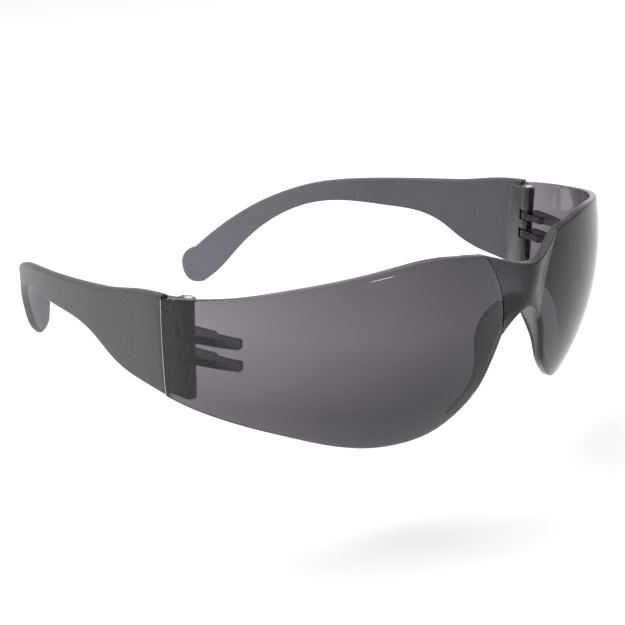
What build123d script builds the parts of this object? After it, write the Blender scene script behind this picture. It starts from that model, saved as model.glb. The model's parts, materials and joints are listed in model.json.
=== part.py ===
"""Wraparound safety glasses: a one-piece tinted lens, two frosted temples and two hinge pins.

The pieces are laid out as the glasses are worn: +X is the wearer's left, +Y points to the back
of the head and +Z is up, along the hinge pins. Before they are written, they are tipped and
moved together to stand on their lens and temple tips, with the middle of their footprint at the
origin. All lengths are millimetres and all angles are degrees.
"""
from build123d import *
from math import atan2, cos, degrees, radians, sin, sqrt

# Lens: each half is part of a ring, round in plan about a vertical line and bowed in height.
wrap_centre = 12.0       # plan centre of each half, from the middle plane
wrap_radius = 56.5       # plan radius of the outer surface
bow_radius = 72.6        # vertical radius of the outer surface
bow_ease = 200.0         # how much that radius grows towards the temples
bow_ease_start = 50.0    # wrap angle where it starts to grow
crown_height = 29.3      # height of the widest ring
edge_angle = 86.7        # wrap angle of the edges that meet the temples
middle_wall = 2.2        # wall at the nose
edge_wall = 1.5          # wall at the temples

# Cuts across one half of the lens, from the temple to the bridge:
# wrap angle and height of the lower end, then of the upper end.
lens_cuts = [
    (edge_angle, 8.5, edge_angle, 34.2),
    (78, 7.5, 78, 36.0),
    (66, 5.8, 66, 38.4),
    (54, 3.3, 54, 41.2),
    (42, 0.7, 42, 43.6),
    (30, -0.9, 30, 45.7),
    (21, -0.6, 22, 46.8),
    (14, 0.7, 17, 47.0),
    (8.5, 3.3, 13, 46.8),
    (4, 6.8, 9.5, 46.4),
    (0.5, 10.8, 6.5, 46.1),
    (-2, 16.5, 4, 45.7),
    (-5, 24.0, 1.5, 45.3),
]

# Bridge: a saddle between the halves, which stands a little forward of them.
# For each cut: the X, Y and height of its lower end, then of its upper end.
bridge_cuts = [
    (3.6, -1.05, 28.2, 7.0, -0.9, 43.0),
    (0.0, -1.5, 29.8, 0.0, -2.8, 41.6),
]
bridge_bulge = 0.4
bridge_wall = 2.6

# Nose rim: a flange behind the nasal edges and under the bridge, that rests on the nose.
# For each place on the lens edge: wrap angle, height and the depth of the flange behind it.
nose_rim_on_lens = [(7.5, 4.0, 1.8), (4, 6.8, 1.9), (0.5, 10.8, 2.2), (-2, 16.5, 3.4), (-5, 24.0, 6.0)]
nose_rim_under_bridge = [6.0, 5.6]
nose_rim_wall = 1.9
nose_rim_inset = 0.1
nose_rim_round = 0.6
nose_rim_splay = 6.0
nose_rim_splay_x = 9.4      # distance from the middle plane where the splay is full

# Hinge: two lugs on ribs inside the lens, between the three knuckles of the temple.
pin_x = 63.5
pin_y = 48.7
pin_radius = 0.65
pin_running_clearance = 0.05
pin_chamfer = 0.2
pin_head_radius = 1.15
pin_head_height = 0.55
pin_head_dome = 0.4
pin_head_clearance = 0.1
pin_tail = 0.2
knuckle_radius = 1.7
knuckle_bottom = 9.2
knuckle_top = 34.4
lug_heights = (20.4, 26.0)
lug_thickness = 2.2
lug_side_clearance = 0.35
lug_swing_clearance = 0.4

# Ribs: they rise a little towards their front ends and step down in depth on the way.
rib_slope = 0.06
rib_overlap = 1.0
rib_root_angle = 80.5
rib_shoulder = (73.4, 4.4)   # wrap angle and depth inside the lens
rib_step = (72.3, 3.2)
rib_end = (64.4, 1.9)

# Temple: a flat arm that starts just behind the lens edge. Distances along it are measured from
# the place where its outer face would meet the lens at arm_angle.
arm_angle = 88.4
arm_heading = (1.1, 0.055, 0.00275)   # constant, linear and squared terms
arm_hook = 0.0186                     # further squared term behind arm_hook_start
arm_hook_start = 98.0
arm_wall = 2.6
arm_tip_wall = 2.2
arm_edge_round = 0.8
arm_flat_start = 40.0
heading_steps = 100

# Cuts across the arm: distance along it, lower height and upper height.
arm_cuts = [
    (-1.4, 8.6, 34.9),
    (8, 9.2, 33.4),
    (15, 9.9, 31.6),
    (22, 11.9, 29.8),
    (28, 14.4, 28.6),
    (36, 16.0, 27.1),
    (50, 15.4, 24.5),
    (64, 14.3, 21.8),
    (76, 12.1, 18.9),
    (88, 7.0, 14.4),
    (98, -0.2, 9.3),
    (107, -9.8, 3.4),
    (115, -18.5, -2.8),
    (120, -20.9, -7.1),
    (123.6, -19.6, -10.9),
    (125.3, -16.4, -14.3),
]
lowest_arm_cut = 13

# Web: the part of the temple that steps in behind the lens edge to carry the knuckles.
web_top = 33.6
web_outline = [
    (pin_x, pin_y),
    (62.2, 49.9),
    (64.1, 54.3),
    (66.2, 58.5),
    (67.4, 58.5),
    (67.4, 53.9),
    (65.8, 53.4),
    (pin_x + knuckle_radius, pin_y),
]


def lens_point(angle, height, inset, side):
    """A point of one lens half, inset inwards from its outer surface."""
    ease = max(0.0, (angle - bow_ease_start) / (edge_angle - bow_ease_start))
    bow = bow_radius + bow_ease * ease**2
    reach = wrap_radius - bow + sqrt(bow**2 - (height - crown_height) ** 2) - inset
    turn = radians(angle)
    return Vector(side * (wrap_centre + reach * sin(turn)), wrap_radius - reach * cos(turn), height)


def lens_wall(angle):
    """Wall of the lens, which thins from the nose to the temples."""
    return middle_wall + (edge_wall - middle_wall) * max(0.0, angle) / edge_angle


def band_profile(outer, inner):
    """Sketch on its own plane: a curved band between three outer and three inner points."""
    plane = Plane(
        origin=outer[0],
        x_dir=outer[2] - outer[0],
        z_dir=(outer[2] - outer[0]).cross(inner[1] - outer[1]),
    )
    flat = [plane.to_local_coords(point) for point in (*outer, *inner)]
    start, middle, end, inner_start, inner_middle, inner_end = [(p.X, p.Y) for p in flat]
    with BuildSketch(plane, mode=Mode.PRIVATE) as band:
        with BuildLine():
            ThreePointArc(start, middle, end)
            Line(end, inner_end)
            ThreePointArc(inner_end, inner_middle, inner_start)
            Line(inner_start, start)
        make_face()
    return band


def lens_cut(low_angle, low, high_angle, high, side):
    """Profile of the lens wall along one cut."""
    angles = (low_angle, (low_angle + high_angle) / 2, high_angle)
    heights = (low, (low + high) / 2, high)
    outer = [lens_point(a, z, 0, side) for a, z in zip(angles, heights)]
    inner = [lens_point(a, z, lens_wall(a), side) for a, z in zip(angles, heights)]
    return band_profile(outer, inner)


def bridge_cut(cut, side):
    """Profile of the saddle along one cut."""
    foot = Vector(side * cut[0], *cut[1:3])
    brow = Vector(side * cut[3], *cut[4:6])
    middle = (foot + brow) / 2 - Vector(0, bridge_bulge, 0)
    outer = [foot, middle, brow]
    return band_profile(outer, [point + Vector(0, bridge_wall, 0) for point in outer])


def arm_heading_at(distance):
    """Inward heading of the arm at a distance along it."""
    heading = sum(term * distance**power for power, term in enumerate(arm_heading))
    return radians(heading + arm_hook * max(0.0, distance - arm_hook_start) ** 2)


def arm_place(distance):
    """Plan position of the arm's outer face at a distance along it."""
    place = lens_point(arm_angle, crown_height, 0, 1)
    step = distance / heading_steps
    for index in range(heading_steps):
        heading = arm_heading_at((index + 0.5) * step)
        place += Vector(-sin(heading), cos(heading), 0) * step
    return place


def arm_cut(distance, low, high):
    """Profile across the arm. It bows like the lens edge in front and is flat behind."""
    place = arm_place(distance)
    heading = arm_heading_at(distance)
    back = Vector(-sin(heading), cos(heading), 0)
    bowing = max(0.0, 1 - distance / arm_flat_start) ** 2 / (2 * (bow_radius + bow_ease))
    wall = arm_wall + (arm_tip_wall - arm_wall) * distance / arm_cuts[-1][0]
    plane = Plane(origin=(place.X, place.Y, 0), x_dir=(0, 0, 1), z_dir=back)
    heights = (low, (low + high) / 2, high)
    bows = [-bowing * (z - crown_height) ** 2 for z in heights]
    with BuildSketch(plane, mode=Mode.PRIVATE) as cut:
        with BuildLine():
            if bowing > 0:
                ThreePointArc(*zip(heights, bows))
                ThreePointArc(*zip(heights, [bow - wall for bow in bows]))
            else:
                Line((low, 0), (high, 0))
                Line((low, -wall), (high, -wall))
            Line((high, bows[2]), (high, bows[2] - wall))
            Line((low, bows[0]), (low, bows[0] - wall))
        make_face()
        fillet(cut.vertices(), min(arm_edge_round, 0.35 * (high - low)))
    return cut


def nose_rim_sections():
    """Profiles of the nose rim, from the foot of one side over the bridge to the other."""
    left = [
        (lens_point(angle, height, lens_wall(angle) / 2, 1), depth, 1)
        for angle, height, depth in nose_rim_on_lens
    ]
    left += [
        (Vector(*cut[:3]) + Vector(0, bridge_wall / 2, 0), depth, 1)
        for cut, depth in zip(bridge_cuts, nose_rim_under_bridge)
    ]
    right = [(Vector(-p.X, p.Y, p.Z), depth, -1) for p, depth, _ in reversed(left[:-1])]
    points = left + right
    sections = []
    for index, (point, depth, side) in enumerate(points):
        before = points[max(index - 1, 0)][0]
        after = points[min(index + 1, len(points) - 1)][0]
        along = (after - before).normalized()
        lean = radians(nose_rim_splay) * min(1.0, abs(point.X) / nose_rim_splay_x) * side
        back = Vector(sin(lean), cos(lean), 0)
        back = (back - along * back.dot(along)).normalized()
        plane = Plane(origin=point, x_dir=back, z_dir=along)
        with BuildSketch(plane, mode=Mode.PRIVATE) as section:
            with Locations((depth / 2, -nose_rim_wall / 2 - nose_rim_inset)):
                RectangleRounded(depth, nose_rim_wall, nose_rim_round)
        sections.append(section)
    return sections


def rib_outline():
    """Plan outline of a hinge rib, from its root along the lens and back to the lug."""
    height = lug_heights[1]
    inside = lens_wall(rib_end[0])
    root, middle, front = [
        lens_point(angle, height, rib_overlap, 1)
        for angle in (rib_root_angle, (rib_root_angle + rib_end[0]) / 2, rib_end[0])
    ]
    end, step, shoulder = [
        lens_point(angle, height, inside + depth, 1) for angle, depth in (rib_end, rib_step, rib_shoulder)
    ]
    lug = [
        Vector(pin_x - knuckle_radius, pin_y),
        Vector(pin_x, pin_y + knuckle_radius),
        Vector(pin_x + knuckle_radius * 0.7, pin_y + knuckle_radius * 0.7),
    ]
    points = [root, middle, front, end, step, shoulder, *lug, root]
    return [(point.X, point.Y - pin_y) for point in points]


# Lens, bridge, nose rim, hinge ribs and lugs are one moulding.
with BuildPart() as lens:
    for side in (1, -1):
        cuts = [lens_cut(*cut, side) for cut in lens_cuts]
        loft([cut.sketch for cut in cuts])
    saddle = [lens_cut(*lens_cuts[-1], 1)]
    saddle += [bridge_cut(cut, 1) for cut in bridge_cuts]
    saddle += [bridge_cut(bridge_cuts[0], -1), lens_cut(*lens_cuts[-1], -1)]
    loft([cut.sketch for cut in saddle])
    loft([section.sketch for section in nose_rim_sections()])
    outline = rib_outline()
    for height in lug_heights:
        plane = Plane(
            origin=(0, pin_y, height - lug_thickness / 2),
            x_dir=(1, 0, 0),
            z_dir=(0, rib_slope, 1),
        )
        with BuildSketch(plane):
            with BuildLine():
                ThreePointArc(*outline[:3])
                Polyline(*outline[2:])
            make_face()
            with Locations((pin_x, 0)):
                Circle(knuckle_radius)
            mirror(about=Plane.YZ)
        extrude(amount=lug_thickness)
    with Locations((pin_x, pin_y, knuckle_bottom), (-pin_x, pin_y, knuckle_bottom)):
        Cylinder(
            pin_radius,
            knuckle_top - knuckle_bottom,
            align=(Align.CENTER, Align.CENTER, Align.MIN),
            mode=Mode.SUBTRACT,
        )
lens.part.label = "lens"

# Left temple: arm, web and three knuckles, with slots between them for the lugs.
with BuildPart() as temple_left:
    loft([arm_cut(*cut).sketch for cut in arm_cuts])
    with BuildSketch(Plane.XY.offset(knuckle_bottom)):
        with BuildLine():
            Polyline(*web_outline, close=True)
        make_face()
    extrude(amount=web_top - knuckle_bottom)
    with Locations((pin_x, pin_y, knuckle_bottom)):
        Cylinder(
            knuckle_radius,
            knuckle_top - knuckle_bottom,
            align=(Align.CENTER, Align.CENTER, Align.MIN),
        )
    for height in lug_heights:
        reach = knuckle_radius + lug_swing_clearance
        with Locations((pin_x, pin_y + reach, height)):
            Box(
                3 * reach,
                3 * reach,
                lug_thickness + 2 * lug_side_clearance,
                align=(Align.CENTER, Align.MAX, Align.CENTER),
                mode=Mode.SUBTRACT,
            )
    with Locations((pin_x, pin_y, knuckle_bottom)):
        Cylinder(
            pin_radius + pin_running_clearance,
            knuckle_top - knuckle_bottom,
            align=(Align.CENTER, Align.CENTER, Align.MIN),
            mode=Mode.SUBTRACT,
        )
temple_left.part.label = "temple_left"

with BuildPart() as temple_right:
    mirror(temple_left.part, about=Plane.YZ)
temple_right.part.label = "temple_right"

# Hinge pins: pressed into the lens lugs, with a domed head over the top knuckle.
with BuildPart() as hinge_pin_left:
    shaft_bottom = knuckle_bottom - pin_tail
    head_bottom = knuckle_top + pin_head_clearance
    with Locations((pin_x, pin_y, shaft_bottom)):
        Cylinder(
            pin_radius,
            head_bottom - shaft_bottom,
            align=(Align.CENTER, Align.CENTER, Align.MIN),
        )
    chamfer(hinge_pin_left.edges().group_by(Axis.Z)[0], pin_chamfer)
    with Locations((pin_x, pin_y, head_bottom)):
        Cylinder(pin_head_radius, pin_head_height, align=(Align.CENTER, Align.CENTER, Align.MIN))
    fillet(hinge_pin_left.edges().group_by(Axis.Z)[-1], pin_head_dome)
hinge_pin_left.part.label = "hinge_pin_left"

with BuildPart() as hinge_pin_right:
    mirror(hinge_pin_left.part, about=Plane.YZ)
hinge_pin_right.part.label = "hinge_pin_right"

# Standing pose: the lens and the temple tips touch the same flat surface.
pieces = [lens, temple_left, temple_right, hinge_pin_left, hinge_pin_right]
lens_low_angle, lens_low = lens_cuts[5][:2]
arm_low_distance, arm_low = arm_cuts[lowest_arm_cut][:2]
lens_foot = lens_point(lens_low_angle, lens_low, lens_wall(lens_low_angle) / 2, 1)
stand_tilt = degrees(atan2(lens_foot.Z - arm_low, arm_place(arm_low_distance).Y - lens_foot.Y))
for piece in pieces:
    piece.part.move(Location((0, 0, 0), (stand_tilt, 0, 0)))
extent = Compound([piece.part for piece in pieces]).bounding_box()
for piece in pieces:
    piece.part.move(Location((0, -extent.center().Y, -extent.min.Z)))
    export_step(piece.part, f"parts/{piece.part.label}.step")
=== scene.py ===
"""The looks of the safety glasses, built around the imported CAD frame.

Shapes are worked out in the worn frame, in millimetres: +X is the wearer's left, +Y points
backwards and +Z is up along the hinge pins. One matrix, tied to the left hinge, takes them to
the row frame, where the open glasses stand on the plane Z = 0.
"""

import json
import math

import bmesh
import bpy
import numpy as np
from mathutils import Matrix, Vector


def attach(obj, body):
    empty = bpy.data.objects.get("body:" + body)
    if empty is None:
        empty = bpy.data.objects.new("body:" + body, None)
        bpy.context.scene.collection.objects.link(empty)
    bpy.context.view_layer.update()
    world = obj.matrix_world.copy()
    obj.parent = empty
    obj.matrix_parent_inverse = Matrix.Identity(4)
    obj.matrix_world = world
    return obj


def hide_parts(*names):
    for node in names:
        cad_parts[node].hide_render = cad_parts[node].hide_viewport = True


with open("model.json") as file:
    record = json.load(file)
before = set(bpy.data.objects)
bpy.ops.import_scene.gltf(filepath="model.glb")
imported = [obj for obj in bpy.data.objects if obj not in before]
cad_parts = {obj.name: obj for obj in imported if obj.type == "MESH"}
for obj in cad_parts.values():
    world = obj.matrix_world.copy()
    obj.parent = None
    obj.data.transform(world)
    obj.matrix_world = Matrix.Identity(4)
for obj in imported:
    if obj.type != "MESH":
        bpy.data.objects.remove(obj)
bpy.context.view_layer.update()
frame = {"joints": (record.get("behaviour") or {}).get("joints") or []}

MM = 0.001

# Looks of the two plastics: surface tint, and the colour that its depth soaks up.
LENS_TINT = ((0.90, 0.86, 0.91), (0.95, 0.91, 0.96))
LENS_IOR = 1.38
LENS_ABSORB = (0.2, 0.17, 0.22)
LENS_DENSITY = 900.0
TEMPLE_TINT = ((0.58, 0.57, 0.63), (0.66, 0.65, 0.71))
TEMPLE_IOR = 1.45
TEMPLE_ABSORB = (0.2, 0.18, 0.23)
TEMPLE_DENSITY = 860.0

# Painted light and shade in the lens colour, by wrap angle and height: lighter towards the hinge edges
# but dark right at them, darker low down and towards the top, and the nose rim painted lighter. On the
# temples, darker at the hinge and lighter towards the tips, by Y.
LENS_PAINTED_LIGHT_ANGLES = ((0, 20, 45, 62, 80, 84.5, 86), (0.52, 0.6, 0.68, 0.84, 1.0, 1.0, 0.25))
LENS_PAINTED_LIGHT_HEIGHTS = ((0, 10, 20, 30, 38, 46), (0.6, 0.52, 0.72, 0.9, 0.76, 0.68))
RIM_PAINTED_LIGHT = 1.8
RIM_BEHIND_WALL = 0.3
RIM_LAST_ANGLE = 25
RIM_TOP = 30
TEMPLE_LIGHTNESS = ((50, 62, 110, 160, 185), (0.35, 0.57, 0.6, 0.8, 0.86))

# Where the frosted bridge ends: half width low down, growth up to the top, and its rise.
CREASE_HALF_WIDTH = 7.1
CREASE_GROWTH = 6.3
CREASE_RISE = (31, 14, 1.6)
FROST_BOTTOM = 22
FROST_BLUR = 0.4

# Where the smooth part of the temple ends, inside the hinge: X and Y, and the blur of each.
GLOSS_END_X = (65.7, 0.4)
GLOSS_END_Y = (58.5, 1.5)

# Lens, as in the CAD part.
WRAP_CENTRE = 12.0
WRAP_RADIUS = 56.5
BOW_RADIUS = 72.6
BOW_EASE = 200.0
BOW_EASE_START = 50.0
CROWN_HEIGHT = 29.3
EDGE_ANGLE = 86.7
MIDDLE_WALL = 2.2
EDGE_WALL = 1.5
LENS_ROUND = 0.4

# Cuts across one half of the lens: wrap angle and height of the lower end, then of the upper end.
LENS_CUTS = [
    (EDGE_ANGLE, 8.5, EDGE_ANGLE, 34.2),
    (78, 7.5, 78, 36.0),
    (66, 5.8, 66, 38.4),
    (54, 3.3, 54, 41.2),
    (42, 0.7, 42, 43.6),
    (30, -0.9, 30, 45.7),
    (21, -0.6, 22, 46.8),
    (14, 0.7, 17, 47.0),
    (8.5, 3.3, 13, 46.8),
    (4, 6.8, 9.5, 46.4),
    (0.5, 10.8, 6.5, 46.1),
    (-2, 16.5, 4, 45.7),
    (-5, 24.0, 1.5, 45.3),
]
CREASE_CURL = 2.5
CREASE_CURL_START = 0.55
LENS_STEPS = 44
LENS_RINGS = 150
BRIDGE_RINGS = 25

# Bridge cuts: X, Y and height of the lower end, then of the upper end.
BRIDGE_CUTS = [
    (3.6, -1.05, 28.2, 7.0, -0.9, 43.0),
    (0.0, -1.5, 29.8, 0.0, -2.8, 41.6),
]
BRIDGE_WALL = 2.6
BRIDGE_BULGE = 0.4
BRIDGE_LIFT = 0.18

# Nose rim: wrap angle, height and depth of the flange along the nasal edge, then under the bridge.
NOSE_RIM_ON_LENS = [
    (7.5, 4.0, 1.8),
    (4, 6.8, 1.9),
    (0.5, 10.8, 2.2),
    (-2, 16.5, 3.4),
    (-5, 24.0, 6.0),
]
NOSE_RIM_UNDER_BRIDGE = [6.0, 5.6]
NOSE_RIM_WALL = 1.9
NOSE_RIM_SPLAY = 6.0
NOSE_RIM_SPLAY_X = 10.0
NOSE_RIM_ROUND = 0.6
NOSE_RIM_INSET = 0.1
NOSE_RIM_RINGS = 90
NOSE_RIM_STEPS = 12
NOSE_RIM_ENDS = (0.5, 0.2)

# Hinge.
PIN_X = 63.5
PIN_Y = 48.7
PIN_RADIUS = 0.65
PIN_MIDDLE = 21.75
PIN_HEAD_RADIUS = 1.15
PIN_HEAD_HEIGHT = 0.55
PIN_HEAD_CLEARANCE = 0.1
PIN_TAIL = 0.2
KNUCKLE_RADIUS = 1.7
KNUCKLE_BOTTOM = 9.2
KNUCKLE_TOP = 34.4
LUG_HEIGHTS = (20.4, 26.0)
LUG_THICKNESS = 2.2
LUG_SIDE_CLEARANCE = 0.35
LUG_SWING_CLEARANCE = 0.4
RIB_SLOPE = 0.06
RIB_ROOT = (80.5, 5.0)
RIB_SHOULDER = (73.4, 4.4)
RIB_STEP = (72.3, 3.2)
RIB_END = (64.4, 1.9)
RIB_OVERLAP = 0.9
RIB_ROUND = 0.3
RIB_STEPS = 6
RIB_END_SHRINK = 0.2
LUG_ROUND = 0.15
LUG_STEPS = 48
PIN_TIP_SHARE = 0.7
PIN_TIP_CHAMFER = 0.25
PIN_HEAD_ROUND = 0.1
PIN_HEAD_SIDE = 0.2
PIN_DOME_STEPS = 8
PIN_STEPS = 40
PIN_LEAST_RADIUS = 0.01
KNUCKLE_ROUND = 0.2
KNUCKLE_STEPS = 33
KNUCKLE_BEHIND_LUG = 0.6
WEB_TOP = 33.6
WEB = [(64.1, 54.3), (66.2, 58.5), (67.4, 58.5), (67.4, 53.9), (65.8, 53.4)]
WEB_INNER_FOOT = (62.2, 49.9)

# Temple: the path of its outer face, and its outline as distance along it and height.
ARM_ANGLE = 88.4
ARM_HEADING = (1.1, 0.055, 0.00275)
ARM_HOOK = 0.0186
ARM_HOOK_START = 98.0
ARM_WALL = 2.6
ARM_TIP_WALL = 2.2
ARM_ROUND = 0.85
ARM_FLAT_START = 40.0
ARM_FRONT = -1.4
ARM_TOP = [
    (ARM_FRONT, 34.9), (8, 33.4), (15, 31.6), (22, 29.8), (28, 28.6), (36, 27.1), (50, 24.5),
    (64, 21.8), (76, 18.9), (88, 14.4), (98, 9.3), (107, 3.4), (115, -2.8), (120.3, -7.4),
]
ARM_BOTTOM = [
    (ARM_FRONT, 8.6), (8, 9.2), (15, 9.9), (22, 11.9), (28, 14.4), (36, 16.0), (50, 15.4),
    (64, 14.3), (76, 12.1), (88, 7.0), (98, -0.2), (107, -9.8), (112.6, -16.2), (117.6, -20.1),
]
ARM_TIP_REACH = 6.4
ARM_TIP_BLUNT = 0.85
ARM_TIP_ROUND = 0.9
ARM_TIP_THINNEST = 0.12
ARM_FRONT_ROUNDING = ((0.0, 0.25), (0.08, 0.1))
ARM_RINGS = 150
TIP_RINGS = 22
ARM_STEPS = 30


# --- the worn frame in the row frame -------------------------------------------------------

def worn_frame():
    """Matrix from the worn frame in millimetres to the row frame in metres."""
    hinge = next(j for j in frame["joints"] if j["name"] == "temple_left_fold")
    tilt = math.atan2(-hinge["axis"][1], hinge["axis"][2])
    turn = Matrix.Rotation(tilt, 4, "X")
    anchor = turn @ Vector((PIN_X * MM, PIN_Y * MM, PIN_MIDDLE * MM))
    return Matrix.Translation(Vector(hinge["pos_m"]) - anchor) @ turn @ Matrix.Scale(MM, 4)


WORN = worn_frame()
WORN_TURN = WORN.to_3x3().normalized()


# --- geometry helpers ----------------------------------------------------------------------

def spline(points, count):
    """Natural cubic spline through points, sampled evenly along its chord length."""
    points = np.asarray(points, float)
    knots = np.r_[0, np.cumsum(np.linalg.norm(np.diff(points, axis=0), axis=1))]
    gaps = np.diff(knots)
    size = len(points)
    system = np.eye(size)
    slopes = np.zeros_like(points)
    for i in range(1, size - 1):
        system[i, i - 1 : i + 2] = gaps[i - 1], 2 * (gaps[i - 1] + gaps[i]), gaps[i]
        ahead = (points[i + 1] - points[i]) / gaps[i]
        behind = (points[i] - points[i - 1]) / gaps[i - 1]
        slopes[i] = 6 * (ahead - behind)
    curve = np.linalg.solve(system, slopes)
    where = np.linspace(0, knots[-1], count)
    i = np.clip(np.searchsorted(knots, where, side="right") - 1, 0, size - 2)
    a = ((knots[i + 1] - where) / gaps[i])[:, None]
    b = 1 - a
    bend = ((a**3 - a) * curve[i] + (b**3 - b) * curve[i + 1]) * gaps[i][:, None] ** 2 / 6
    return a * points[i] + b * points[i + 1] + bend


def band(height, wall, radius, long_steps, short_steps=3, corner_steps=4, shrink=0.0):
    """Closed outline of a rounded band, as (up, in) pairs from its lower outer corner."""
    radius = max(min(radius, height / 2 - 1e-4, wall / 2 - 1e-4) - shrink, 1e-3)
    low, high, out, inner = shrink, height - shrink, shrink, wall - shrink
    outline = []

    def corner(up, deep, start):
        for step in range(corner_steps):
            turn = math.radians(start + 90 * step / corner_steps)
            outline.append((up + radius * math.sin(turn), deep - radius * math.cos(turn)))

    def run(up_a, in_a, up_b, in_b, steps):
        for step in range(steps):
            part = step / steps
            outline.append((up_a + (up_b - up_a) * part, in_a + (in_b - in_a) * part))

    run(low + radius, out, high - radius, out, long_steps)
    corner(high - radius, out + radius, 0)
    run(high, out + radius, high, inner - radius, short_steps)
    corner(high - radius, inner - radius, 90)
    run(high - radius, inner, low + radius, inner, long_steps)
    corner(low + radius, inner - radius, 180)
    run(low, inner - radius, low, out + radius, short_steps)
    corner(low + radius, out + radius, 270)
    return np.array(outline)


def rounding(radius, steps=4):
    """Steps of a rounded end, as (distance from the end, shrink of the outline)."""
    turns = [math.pi / 2 * step / steps for step in range(steps)]
    return [(radius * (1 - math.sin(t)), radius * (1 - math.cos(t))) for t in turns]


SHARP_ANGLE = 38.0
UNITED_SHARP_ANGLE = 30.0


def finish_mesh(name, vertices, faces, material, mirror):
    """Object from worn-frame vertices, smooth except where its faces meet at a sharp angle."""
    vertices = np.asarray(vertices, float)
    if mirror:
        vertices = vertices * np.array([-1, 1, 1])
        faces = [tuple(reversed(face)) for face in faces]
    mesh = bpy.data.meshes.new(name)
    mesh.from_pydata([WORN @ Vector(v) for v in vertices], [], faces)
    mesh.materials.append(material)
    edit = bmesh.new()
    edit.from_mesh(mesh)
    bmesh.ops.recalc_face_normals(edit, faces=edit.faces)
    for face in edit.faces:
        face.smooth = True
    for edge in edit.edges:
        if len(edge.link_faces) == 2 and edge.calc_face_angle(0) > math.radians(SHARP_ANGLE):
            edge.smooth = False
    edit.to_mesh(mesh)
    edit.free()
    thing = bpy.data.objects.new(name, mesh)
    bpy.context.scene.collection.objects.link(thing)
    return thing


def tube_faces(rings, ring_size):
    """Quads between successive closed rings of the same size."""
    faces = []
    for ring in range(rings - 1):
        for i in range(ring_size):
            j = (i + 1) % ring_size
            a, b = ring * ring_size, (ring + 1) * ring_size
            faces.append((a + i, a + j, b + j, b + i))
    return faces


def loft(name, rings, material, mirror=False):
    """Closed object lofted through rings of equal size, with a flat face at each end."""
    size = len(rings[0])
    vertices = np.concatenate(rings)
    faces = tube_faces(len(rings), size)
    faces += [tuple(reversed(range(size))), tuple(range(len(vertices) - size, len(vertices)))]
    return finish_mesh(name, vertices, faces, material, mirror)


def unite(name, pieces):
    """One closed object from overlapping closed ones."""
    whole = pieces[0]
    for piece in pieces[1:]:
        cut = whole.modifiers.new("unite", "BOOLEAN")
        cut.operation = "UNION"
        cut.solver = "MANIFOLD"
        cut.object = piece
    graph = bpy.context.evaluated_depsgraph_get()
    mesh = bpy.data.meshes.new_from_object(whole.evaluated_get(graph))
    edit = bmesh.new()
    edit.from_mesh(mesh)
    sharp = math.radians(UNITED_SHARP_ANGLE)
    for edge in edit.edges:
        edge.smooth = len(edge.link_faces) != 2 or edge.calc_face_angle(0) < sharp
    for face in edit.faces:
        face.smooth = True
    edit.to_mesh(mesh)
    edit.free()
    whole.modifiers.clear()
    whole.data = mesh
    whole.name = mesh.name = name
    for piece in pieces[1:]:
        bpy.data.objects.remove(piece)
    return whole


def worn_points(thing):
    """Vertices of an object in the worn frame, one row each of X, Y and Z."""
    back = WORN.inverted()
    return np.array([back @ vertex.co for vertex in thing.data.vertices]).T


def store(thing, name, values):
    layer = thing.data.attributes.new(name, "FLOAT", "POINT")
    layer.data.foreach_set("value", np.asarray(values, np.float32))


# --- materials -----------------------------------------------------------------------------

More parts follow.
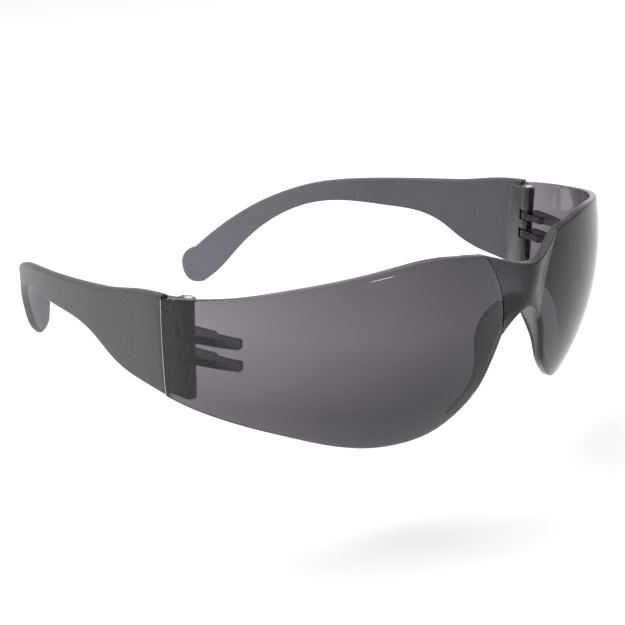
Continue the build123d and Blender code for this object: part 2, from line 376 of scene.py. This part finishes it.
class Shader:
    """A procedural material around one Principled shader."""

    def __init__(self, name, **sockets):
        self.material = bpy.data.materials.new(name)
        self.material.use_nodes = True
        self.tree = self.material.node_tree
        self.shader = self.tree.nodes["Principled BSDF"]
        for socket, value in sockets.items():
            self.shader.inputs[socket.replace("_", " ")].default_value = value
        self.place = self.tree.nodes.new("ShaderNodeTexCoord").outputs["Object"]

    def node(self, kind, **values):
        made = self.tree.nodes.new(kind)
        for key, value in values.items():
            if key in made.inputs:
                made.inputs[key].default_value = value
            else:
                setattr(made, key, value)
        return made

    def noise(self, scale, detail=3.0, roughness=0.5, stretch=None):
        where = self.place
        if stretch is not None:
            mapping = self.node("ShaderNodeMapping")
            mapping.inputs["Scale"].default_value = stretch
            self.tree.links.new(where, mapping.inputs["Vector"])
            where = mapping.outputs["Vector"]
        made = self.node("ShaderNodeTexNoise", Scale=scale, Detail=detail, Roughness=roughness)
        self.tree.links.new(where, made.inputs["Vector"])
        return made.outputs["Fac"]

    def ramp(self, source, stops):
        made = self.node("ShaderNodeValToRGB")
        elements = made.color_ramp.elements
        while len(elements) < len(stops):
            elements.new(0.5)
        for element, (at, colour) in zip(elements, stops):
            element.position = at
            element.color = (*colour, 1)
        self.tree.links.new(source, made.inputs["Fac"])
        return made.outputs["Color"]

    def spread(self, source, low, high):
        made = self.node("ShaderNodeMapRange")
        made.inputs["To Min"].default_value = low
        made.inputs["To Max"].default_value = high
        self.tree.links.new(source, made.inputs["Value"])
        return made.outputs["Result"]

    def stored(self, name):
        return self.node("ShaderNodeAttribute", attribute_name=name).outputs["Fac"]

    def dim(self, colour, factor):
        """Colour times a factor."""
        made = self.node("ShaderNodeVectorMath", operation="SCALE")
        self.tree.links.new(colour, made.inputs[0])
        self.tree.links.new(factor, made.inputs["Scale"])
        return made.outputs[0]

    def blend(self, factor, first, second):
        made = self.node("ShaderNodeMix", data_type="FLOAT")
        for source, socket in ((factor, 0), (first, 2), (second, 3)):
            self.tree.links.new(source, made.inputs[socket])
        return made.outputs[0]

    def times(self, first, second):
        made = self.node("ShaderNodeMath", operation="MULTIPLY")
        self.tree.links.new(first, made.inputs[0])
        self.tree.links.new(second, made.inputs[1])
        return made.outputs[0]

    def absorb(self, colour, density):
        made = self.node("ShaderNodeVolumeAbsorption", Color=(*colour, 1), Density=density)
        output = self.tree.nodes["Material Output"]
        self.tree.links.new(made.outputs["Volume"], output.inputs["Volume"])

    def bump(self, layers):
        """Bump from (height, strength, distance in metres) layers, one on the other."""
        normal = None
        for height, strength, distance in layers:
            made = self.node("ShaderNodeBump", Strength=strength, Distance=distance)
            self.tree.links.new(height, made.inputs["Height"])
            if normal is not None:
                self.tree.links.new(normal, made.inputs["Normal"])
            normal = made.outputs["Normal"]
        self.tree.links.new(normal, self.shader.inputs["Normal"])

    def link(self, source, socket):
        self.tree.links.new(source, self.shader.inputs[socket])


def smoke_lens():
    """Smoke polycarbonate of the lens moulding: polished, but spark-eroded on the bridge."""
    m = Shader("smoke_lens", Transmission_Weight=1.0, IOR=LENS_IOR, Roughness=0.03)
    frosted = m.stored("frost")
    tint = m.ramp(m.noise(14.0, 2.0), [(0.35, LENS_TINT[0]), (0.65, LENS_TINT[1])])
    # The base colour is dimmed by the painted light and shade stored on the lens.
    m.link(m.dim(tint, m.stored("clear")), "Base Color")
    smudge = m.spread(m.noise(38.0, 4.0, 0.6), 0.004, 0.035)
    grain = m.spread(m.noise(900.0, 2.0), 0.24, 0.32)
    m.link(m.blend(frosted, smudge, grain), "Roughness")
    m.bump([(m.noise(60.0, 1.0), 0.05, 0.0002)])
    m.absorb(LENS_ABSORB, LENS_DENSITY)
    return m.material


def frosted_temple():
    """Frosted smoke polycarbonate of the temples, smoother around the hinge."""
    m = Shader("frosted_temple", Transmission_Weight=0.9, IOR=TEMPLE_IOR, Roughness=0.4)
    glossy = m.stored("gloss")
    tint = m.ramp(m.noise(70.0, 4.0, 0.6), [(0.3, TEMPLE_TINT[0]), (0.7, TEMPLE_TINT[1])])
    speckle = m.spread(m.noise(1500.0, 2.0), 0.7, 1.3)
    # The base colour is dimmed darker at the hinge and lighter towards the tip, times a fine speckle.
    m.link(m.dim(tint, m.times(m.stored("clear"), speckle)), "Base Color")
    grain = m.spread(m.noise(800.0, 2.0), 0.34, 0.5)
    smooth = m.spread(m.noise(500.0, 2.0), 0.12, 0.24)
    m.link(m.blend(glossy, grain, smooth), "Roughness")
    m.bump([(m.noise(2200.0, 3.0), 0.6, 0.00012), (m.noise(160.0, 2.0), 0.1, 0.0001)])
    m.absorb(TEMPLE_ABSORB, TEMPLE_DENSITY)
    return m.material


def bright_steel():
    """Turned steel of the hinge pins."""
    m = Shader("bright_steel", Metallic=1.0, Roughness=0.25)
    brushed = m.noise(900.0, 3.0, stretch=(1.0, 1.0, 12.0))
    m.link(m.ramp(brushed, [(0.3, (0.34, 0.34, 0.35)), (0.7, (0.46, 0.46, 0.47))]), "Base Color")
    m.link(m.spread(brushed, 0.18, 0.38), "Roughness")
    m.bump([(brushed, 0.15, 0.00003)])
    return m.material


def studio_floor():
    """Matt, nearly white floor."""
    m = Shader("studio_floor", Roughness=0.85)
    pale = m.ramp(m.noise(6.0, 3.0), [(0.3, (0.92, 0.92, 0.92)), (0.7, (0.94, 0.94, 0.94))])
    m.link(pale, "Base Color")
    return m.material


LENS_FINISH = smoke_lens()
TEMPLE_FINISH = frosted_temple()
STEEL_FINISH = bright_steel()


def frost(lens):
    """Marks the frosted bridge, and paints light and shade into the colour of the lens and its nose rim.
    """
    x, y, z = worn_points(lens)
    bottom, rise, power = CREASE_RISE
    crease = CREASE_HALF_WIDTH + CREASE_GROWTH * np.clip((z - bottom) / rise, 0, 1) ** power
    angle = np.degrees(np.arctan2(np.abs(x) - WRAP_CENTRE, WRAP_RADIUS - y))
    store(lens, "frost", np.clip((crease - np.abs(x)) / FROST_BLUR + 0.5, 0, 1) * (z > FROST_BOTTOM))
    # Painted light and shade: lighter towards the hinge edges but dark right at them, darker low down and
    # towards the top.
    around = np.interp(angle, LENS_PAINTED_LIGHT_ANGLES[0], LENS_PAINTED_LIGHT_ANGLES[1])
    clear = around * np.interp(z, LENS_PAINTED_LIGHT_HEIGHTS[0], LENS_PAINTED_LIGHT_HEIGHTS[1])
    # The nose rim behind the lens wall is painted up to 1.8 times lighter.
    reach = WRAP_RADIUS - BOW_RADIUS + np.sqrt(BOW_RADIUS**2 - (z - CROWN_HEIGHT) ** 2)
    depth = reach - np.hypot(np.abs(x) - WRAP_CENTRE, WRAP_RADIUS - y)
    rim = (depth > MIDDLE_WALL + RIM_BEHIND_WALL) & (angle < RIM_LAST_ANGLE) & (z < RIM_TOP)
    store(lens, "clear", np.where(rim, np.minimum(1.0, RIM_PAINTED_LIGHT * clear), clear))


def dress_temple(temple):
    """Marks the smooth hinge, and paints the arm darker at the hinge and lighter towards its tip, by Y;
    the arm also thins to its tip.
    """
    x, y, z = worn_points(temple)
    inside = np.clip((GLOSS_END_X[0] - np.abs(x)) / GLOSS_END_X[1], 0, 1)
    store(temple, "gloss", inside * np.clip((GLOSS_END_Y[0] - y) / GLOSS_END_Y[1], 0, 1))
    # Darker at the hinge, lighter towards the tip.
    store(temple, "clear", np.interp(y, TEMPLE_LIGHTNESS[0], TEMPLE_LIGHTNESS[1]))


# --- lens ----------------------------------------------------------------------------------

def lens_point(angle, height, inset, side):
    """Point of one lens half, inset inwards from its outer surface."""
    ease = np.maximum(0.0, (angle - BOW_EASE_START) / (EDGE_ANGLE - BOW_EASE_START))
    bow = BOW_RADIUS + BOW_EASE * ease**2
    reach = WRAP_RADIUS - bow + np.sqrt(bow**2 - (height - CROWN_HEIGHT) ** 2) - inset
    turn = np.radians(angle)
    x = side * (WRAP_CENTRE + reach * np.sin(turn))
    return np.stack([x, WRAP_RADIUS - reach * np.cos(turn), height + 0 * angle], -1)


def lens_wall(angle):
    """Thickness of the lens wall at a wrap angle."""
    return MIDDLE_WALL + (EDGE_WALL - MIDDLE_WALL) * np.maximum(0.0, angle) / EDGE_ANGLE


def lens_ring(cut, side, curl, shrink=0.0, lift=0.0, push=0.0):
    """Outline of the lens wall along one cut. push moves it on along the wrap, in millimetres."""
    low_angle, low, high_angle, high = cut
    height = high - low
    wall = float(lens_wall(np.array((low_angle + high_angle) / 2)))
    outline = band(height, wall, LENS_ROUND, LENS_STEPS, shrink=shrink)
    share = outline[:, 0] / height
    angle = low_angle + (high_angle - low_angle) * share**curl + math.degrees(push / WRAP_RADIUS)
    depth = outline[:, 1] - lift * np.clip(1 - outline[:, 1] / wall, 0, 1)
    return lens_point(angle, low + outline[:, 0], depth, side)


def lens_half_rings(side):
    """Rings of one half, from the hinge edge to the crease."""
    cuts = spline(LENS_CUTS, LENS_RINGS)
    share = (np.arange(LENS_RINGS) / LENS_RINGS - CREASE_CURL_START) / (1 - CREASE_CURL_START)
    curls = 1 + (CREASE_CURL - 1) * np.clip(share, 0, 1) ** 2
    rings = [
        lens_ring(cuts[0], side, 1.0, shrink, push=LENS_ROUND - back)
        for back, shrink in rounding(LENS_ROUND)
    ]
    rings += [lens_ring(cut, side, curl) for cut, curl in zip(cuts, curls)]
    return rings


def bridge_rings():
    """Rings of the saddle, from the left crease to the right one, a little proud of the lens."""
    start = lens_ring(LENS_CUTS[-1], 1, CREASE_CURL, lift=BRIDGE_LIFT)
    rows = [start]
    for low_x, low_y, low, high_x, high_y, high in BRIDGE_CUTS:
        outline = band(high - low, BRIDGE_WALL, LENS_ROUND, LENS_STEPS)
        share = outline[:, 0] / (high - low)
        curl = share ** (1 + (CREASE_CURL - 1) * low_x / CREASE_HALF_WIDTH)
        x = low_x + (high_x - low_x) * curl
        bulge = BRIDGE_BULGE * 4 * share * (1 - share)
        y = low_y + (high_y - low_y) * share - bulge + outline[:, 1]
        rows.append(np.stack([x, y, low + outline[:, 0]], -1))
    flip = np.array([-1, 1, 1])
    rows += [rows[1] * flip, rows[0] * flip]
    size = len(start)
    tracks = np.stack([spline([row[i] for row in rows], BRIDGE_RINGS) for i in range(size)], 1)
    return [tracks[i] for i in range(BRIDGE_RINGS)]


def lens_shell():
    """The lens wall from one hinge edge to the other, bridge included."""
    left = lens_half_rings(1)
    right = lens_half_rings(-1)[::-1]
    return loft("lens_shell", left + bridge_rings() + right, LENS_FINISH)


def make_lens():
    """The whole front moulding: wall, nose rim, hinge ribs and lugs."""
    pieces = [lens_shell(), nose_rim()]
    for side in (1, -1):
        for height in LUG_HEIGHTS:
            pieces.append(loft("rib", rib_rings(height), LENS_FINISH, mirror=side < 0))
            pieces.append(loft("lug", lug_rings(height), LENS_FINISH, mirror=side < 0))
    lens = unite("lens_moulding", pieces)
    frost(lens)
    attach(lens, "front")
    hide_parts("lens")


def nose_rim():
    """Flange that runs down both nasal edges and under the bridge."""
    path = []
    for angle, height, depth in NOSE_RIM_ON_LENS:
        where = lens_point(np.array(angle), height, float(lens_wall(np.array(angle))) / 2, 1)
        path.append((*where, depth))
    for cut, depth in zip(BRIDGE_CUTS, NOSE_RIM_UNDER_BRIDGE):
        path.append((cut[0], cut[1] + BRIDGE_WALL / 2, cut[2], depth))
    path += [(-x, y, z, depth) for x, y, z, depth in reversed(path[:-1])]
    track = spline(path, NOSE_RIM_RINGS)
    rings = []
    count = len(track)
    blunt, next_blunt = NOSE_RIM_ENDS
    ends = {0: blunt, 1: next_blunt, count - 2: next_blunt, count - 1: blunt}
    for i, (x, y, z, depth) in enumerate(track):
        along = track[min(i + 1, count - 1), :3] - track[max(i - 1, 0), :3]
        along /= np.linalg.norm(along)
        lean = math.radians(NOSE_RIM_SPLAY) * np.clip(x / NOSE_RIM_SPLAY_X, -1, 1)
        back = np.array([math.sin(lean), math.cos(lean), 0])
        back -= along * back.dot(along)
        back /= np.linalg.norm(back)
        away = -np.cross(along, back)
        outline = band(depth, NOSE_RIM_WALL, NOSE_RIM_ROUND, NOSE_RIM_STEPS, shrink=ends.get(i, 0.0))
        across = (outline[:, 1:] + NOSE_RIM_INSET) * away
        rings.append(np.array([x, y, z]) + outline[:, :1] * back + across)
    return loft("nose_rim", rings, LENS_FINISH)


def rib_rings(height):
    """Rings of one hinge rib, from its root in the lug to its front end."""
    stations = [RIB_ROOT, RIB_SHOULDER, RIB_STEP, RIB_END]
    angles = np.r_[
        np.linspace(RIB_ROOT[0], RIB_SHOULDER[0] + 0.4, 8),
        np.linspace(RIB_SHOULDER[0], RIB_STEP[0], 4),
        np.linspace(RIB_STEP[0] - 0.4, RIB_END[0] + 0.3, 12),
        RIB_END[0],
    ]
    depths = np.interp(-angles, [-angle for angle, _ in stations], [depth for _, depth in stations])
    rings = []
    for angle, depth in zip(angles, depths):
        shrink = RIB_END_SHRINK if angle == RIB_END[0] else 0.0
        outline = band(LUG_THICKNESS, depth + RIB_OVERLAP, RIB_ROUND, RIB_STEPS, RIB_STEPS, shrink=shrink)
        wall = float(lens_wall(np.array(angle)))
        place = lens_point(angle, height, 0.0, 1)
        z = height + RIB_SLOPE * (PIN_Y - place[1]) - LUG_THICKNESS / 2 + outline[:, 0]
        rings.append(lens_point(angle + 0 * z, z, wall - RIB_OVERLAP + outline[:, 1], 1))
    return rings


def lug_rings(height):
    """Rings of the round lug that holds the hinge pin."""
    turns = np.linspace(0, 2 * math.pi, LUG_STEPS, endpoint=False)
    circle = np.c_[PIN_X + KNUCKLE_RADIUS * np.cos(turns), PIN_Y + KNUCKLE_RADIUS * np.sin(turns)]
    return prism(circle, height - LUG_THICKNESS / 2, height + LUG_THICKNESS / 2, LUG_ROUND)


# --- temples -------------------------------------------------------------------------------

def arm_plan():
    """Table of distance, plan position and heading along the arm's outer face."""
    start = lens_point(np.array(ARM_ANGLE), CROWN_HEIGHT, 0.0, 1)
    along = np.linspace(-2, 130, 1321)
    heading = sum(term * along**power for power, term in enumerate(ARM_HEADING))
    heading = np.radians(heading + ARM_HOOK * np.maximum(0.0, along - ARM_HOOK_START) ** 2)
    step = along[1] - along[0]
    middle = (heading[1:] + heading[:-1]) / 2
    x = -np.r_[0, np.cumsum(np.sin(middle)) * step]
    y = np.r_[0, np.cumsum(np.cos(middle)) * step]
    x += start[0] - np.interp(0, along, x)
    y += start[1] - np.interp(0, along, y)
    return along, x, y, heading


PLAN = arm_plan()


def arm_point(distance, height, depth):
    """Point of the left arm at a distance along it, a height and a depth below its outer face."""
    along, x, y, heading = PLAN
    turn = np.interp(distance, along, heading)
    bowing = np.maximum(0.0, 1 - distance / ARM_FLAT_START) ** 2 / (2 * (BOW_RADIUS + BOW_EASE))
    sink = depth + bowing * (height - CROWN_HEIGHT) ** 2
    x = np.interp(distance, along, x) - sink * np.cos(turn)
    y = np.interp(distance, along, y) - sink * np.sin(turn)
    return np.stack([x, y, height], -1)


def arm_ring(low, high, shrink=0.0, thin=1.0):
    """Outline of the arm between a lower and an upper point of its developed outline."""
    low, high = np.array(low), np.array(high)
    length = np.linalg.norm(high - low)
    wall = ARM_WALL + (ARM_TIP_WALL - ARM_WALL) * low[0] / ARM_TOP[-1][0]
    outline = band(length, wall * thin, ARM_ROUND * thin, ARM_STEPS, shrink=shrink)
    where = low + outline[:, :1] * (high - low) / length
    return arm_point(where[:, 0], where[:, 1], outline[:, 1] + wall * (1 - thin) / 2)


def arm_rings():
    """Rings of the arm, from its front edge at the hinge to its round tip."""
    top = spline(ARM_TOP, ARM_RINGS)
    bottom = spline(ARM_BOTTOM, ARM_RINGS)
    front = np.array([1.0, 0.0])
    rings = []
    for back, shrink in ARM_FRONT_ROUNDING:
        rings.append(arm_ring(bottom[0] + front * back, top[0] + front * back, shrink))
    rings += [arm_ring(low, high) for low, high in zip(bottom[1:], top[1:])]
    middle = (top[-1] + bottom[-1]) / 2
    half = (top[-1] - bottom[-1]) / 2
    ahead = np.array([half[1], -half[0]]) / np.linalg.norm(half)
    for step in range(1, TIP_RINGS):
        turn = math.pi / 2 * step / TIP_RINGS
        centre = middle + ahead * ARM_TIP_REACH * math.sin(turn) ** ARM_TIP_BLUNT
        end_gap = ARM_TIP_REACH * (1 - math.sin(turn) ** ARM_TIP_BLUNT)
        thin = math.sqrt(1 - max(0.0, 1 - end_gap / ARM_TIP_ROUND) ** 2)
        reach = half * math.cos(turn) ** ARM_TIP_BLUNT
        rings.append(arm_ring(centre - reach, centre + reach, 0.0, max(thin, ARM_TIP_THINNEST)))
    return rings


def prism(outline, low, high, edge=0.25):
    """Upright prism over a plan outline, with its upper and lower edges rounded."""
    outline = np.array(outline, float)
    ahead = np.roll(outline, -1, 0) - outline
    behind = outline - np.roll(outline, 1, 0)
    if np.sum(np.cross(outline, np.roll(outline, -1, 0))) < 0:
        return prism(outline[::-1], low, high, edge)
    normals = []
    for a, b in zip(behind, ahead):
        across = [np.array([side[1], -side[0]]) / np.linalg.norm(side) for side in (a, b)]
        middle = across[0] + across[1]
        normals.append(middle / max(middle.dot(across[0]), 0.4))
    turns = (math.pi / 2, 1.1, 0.6, 0.0)
    levels = [(low + edge - edge * math.sin(t), edge * (1 - math.cos(t))) for t in turns]
    levels += [(high - edge + edge * math.sin(t), edge * (1 - math.cos(t))) for t in reversed(turns)]
    normals = np.array(normals)
    return [np.c_[outline - normals * shrink, np.full(len(outline), z)] for z, shrink in levels]


def web_x_at(y, a, b):
    """X where the line through plan points a and b reaches Y."""
    return a[0] + (b[0] - a[0]) * (y - a[1]) / (b[1] - a[1])


def knuckle_outline():
    """Plan outline of one knuckle: round in front of the pin, running back into the web."""
    turns = np.radians(np.linspace(180, 360, KNUCKLE_STEPS))
    nose = [(PIN_X + KNUCKLE_RADIUS * math.cos(t), PIN_Y + KNUCKLE_RADIUS * math.sin(t)) for t in turns]
    back = PIN_Y + KNUCKLE_RADIUS + LUG_SWING_CLEARANCE + KNUCKLE_BEHIND_LUG
    outer = (web_x_at(back, nose[-1], WEB[-1]) - 0.05, back)
    inner = (web_x_at(back, WEB_INNER_FOOT, WEB[0]) + 0.05, back)
    return nose + [outer, inner, (WEB_INNER_FOOT[0] + 0.02, WEB_INNER_FOOT[1])]


def make_temple(side, name):
    """One temple moulding: arm, web and three hinge knuckles."""
    pieces = [loft(f"{name}_arm", arm_rings(), TEMPLE_FINISH, mirror=side < 0)]
    front = PIN_Y + KNUCKLE_RADIUS + LUG_SWING_CLEARANCE
    outer_tangent = (PIN_X + KNUCKLE_RADIUS, PIN_Y)
    web = [(web_x_at(front, WEB_INNER_FOOT, WEB[0]), front), *WEB]
    web.append((web_x_at(front, outer_tangent, WEB[-1]), front))
    rings = prism(web, KNUCKLE_BOTTOM, WEB_TOP)
    pieces.append(loft(f"{name}_web", rings, TEMPLE_FINISH, mirror=side < 0))
    gaps = [KNUCKLE_BOTTOM]
    for height in LUG_HEIGHTS:
        gap = LUG_THICKNESS / 2 + LUG_SIDE_CLEARANCE
        gaps += [height - gap, height + gap]
    gaps.append(KNUCKLE_TOP)
    for low, high in zip(gaps[::2], gaps[1::2]):
        rings = prism(knuckle_outline(), low, high, KNUCKLE_ROUND)
        pieces.append(loft(f"{name}_knuckle", rings, TEMPLE_FINISH, mirror=side < 0))
    temple = unite(f"{name}_moulding", pieces)
    dress_temple(temple)
    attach(temple, name)
    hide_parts(name)


def make_pin(side, name):
    """Turned pin with a domed head, lathed about the hinge line."""
    base = KNUCKLE_TOP + PIN_HEAD_CLEARANCE
    tail = KNUCKLE_BOTTOM - PIN_TAIL
    profile = [
        (0.0, tail),
        (PIN_RADIUS * PIN_TIP_SHARE, tail),
        (PIN_RADIUS, tail + PIN_TIP_CHAMFER),
        (PIN_RADIUS, base),
        (PIN_HEAD_RADIUS - PIN_HEAD_ROUND, base),
        (PIN_HEAD_RADIUS, base + PIN_HEAD_ROUND),
    ]
    for step in range(PIN_DOME_STEPS + 1):
        turn = math.pi / 2 * step / PIN_DOME_STEPS
        rise = PIN_HEAD_SIDE + (PIN_HEAD_HEIGHT - PIN_HEAD_SIDE) * math.sin(turn)
        profile.append((PIN_HEAD_RADIUS * math.cos(turn), base + rise))
    turns = np.linspace(0, 2 * math.pi, PIN_STEPS, endpoint=False)
    rings = []
    for radius, z in profile:
        radius = max(radius, PIN_LEAST_RADIUS)
        x, y = PIN_X + radius * np.cos(turns), PIN_Y + radius * np.sin(turns)
        rings.append(np.stack([x, y, z + 0 * turns], -1))
    pin = loft(f"{name}_turned", rings, STEEL_FINISH, mirror=side < 0)
    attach(pin, "front")
    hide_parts(name)


# --- studio --------------------------------------------------------------------------------

CAMERA_AZIMUTH = -43.8
CAMERA_ELEVATION = 22.8
CAMERA_ROLL = 0.58
CAMERA_PLACE = (-249.25, -186.68, 156.54)
CAMERA_LENS = 79.7
CAMERA_SENSOR = 36.0
CAMERA_CLIP_START = 0.01


def make_camera():
    """Camera that looks from the front right of the wearer, from above."""
    data = bpy.data.cameras.new("camera")
    data.lens = CAMERA_LENS
    data.sensor_width = CAMERA_SENSOR
    data.clip_start = CAMERA_CLIP_START
    camera = bpy.data.objects.new("camera", data)
    bpy.context.scene.collection.objects.link(camera)
    turn = math.radians(CAMERA_AZIMUTH)
    rise = math.radians(CAMERA_ELEVATION)
    roll = math.radians(CAMERA_ROLL)
    look = Vector((-math.sin(turn) * math.cos(rise), math.cos(turn) * math.cos(rise), -math.sin(rise)))
    level = Vector((math.cos(turn), math.sin(turn), 0))
    upright = level.cross(look)
    right = math.cos(roll) * level + math.sin(roll) * upright
    up = math.cos(roll) * upright - math.sin(roll) * level
    axes = Matrix((right, up, -look)).transposed()
    camera.matrix_world = Matrix.Translation(WORN @ Vector(CAMERA_PLACE)) @ (WORN_TURN @ axes).to_4x4()
    bpy.context.scene.camera = camera


# The floor lies low enough for the tips of the folded temples, which swing down past the lens.
FLOOR_LEVEL = -0.019
FLOOR_REACH = 12.0


def make_floor():
    """Plain floor."""
    mesh = bpy.data.meshes.new("floor")
    corners = ((-1, -1), (1, -1), (1, 1), (-1, 1))
    points = [(x * FLOOR_REACH, y * FLOOR_REACH, FLOOR_LEVEL) for x, y in corners]
    mesh.from_pydata(points, [], [(0, 1, 2, 3)])
    mesh.materials.append(studio_floor())
    floor = bpy.data.objects.new("floor", mesh)
    bpy.context.scene.collection.objects.link(floor)


def softbox(name, place, target, size, power):
    """Rectangular area light, aimed at a target; metres and watts."""
    data = bpy.data.lights.new(name, "AREA")
    data.shape = "RECTANGLE"
    data.size, data.size_y = size
    data.energy = power
    light = bpy.data.objects.new(name, data)
    bpy.context.scene.collection.objects.link(light)
    light.location = place
    light.rotation_euler = (Vector(target) - Vector(place)).to_track_quat("-Z", "Y").to_euler()


def make_light():
    """White surroundings, a large soft top light and two small ones for highlights."""
    world = bpy.data.worlds.new("studio")
    world.use_nodes = True
    background = world.node_tree.nodes["Background"]
    background.inputs["Color"].default_value = (1.0, 1.0, 1.0, 1)
    background.inputs["Strength"].default_value = 1.0
    bpy.context.scene.world = world
    softbox("top", (0.15, 0.25, 1.1), (0, 0, 0), (1.3, 0.9), 6.2)
    softbox("back", (-0.35, 0.5, 0.45), (-0.06, -0.03, 0.03), (0.1, 0.1), 0.4)
    softbox("strip", (-0.102, -0.294, 0.029), (-0.02, -0.07, 0.04), (0.055, 0.006), 0.025)


make_camera()
make_lens()
for side, word in ((1, "left"), (-1, "right")):
    make_temple(side, f"temple_{word}")
    make_pin(side, f"hinge_pin_{word}")
make_floor()
make_light()
bpy.context.scene.view_settings.view_transform = "Standard"
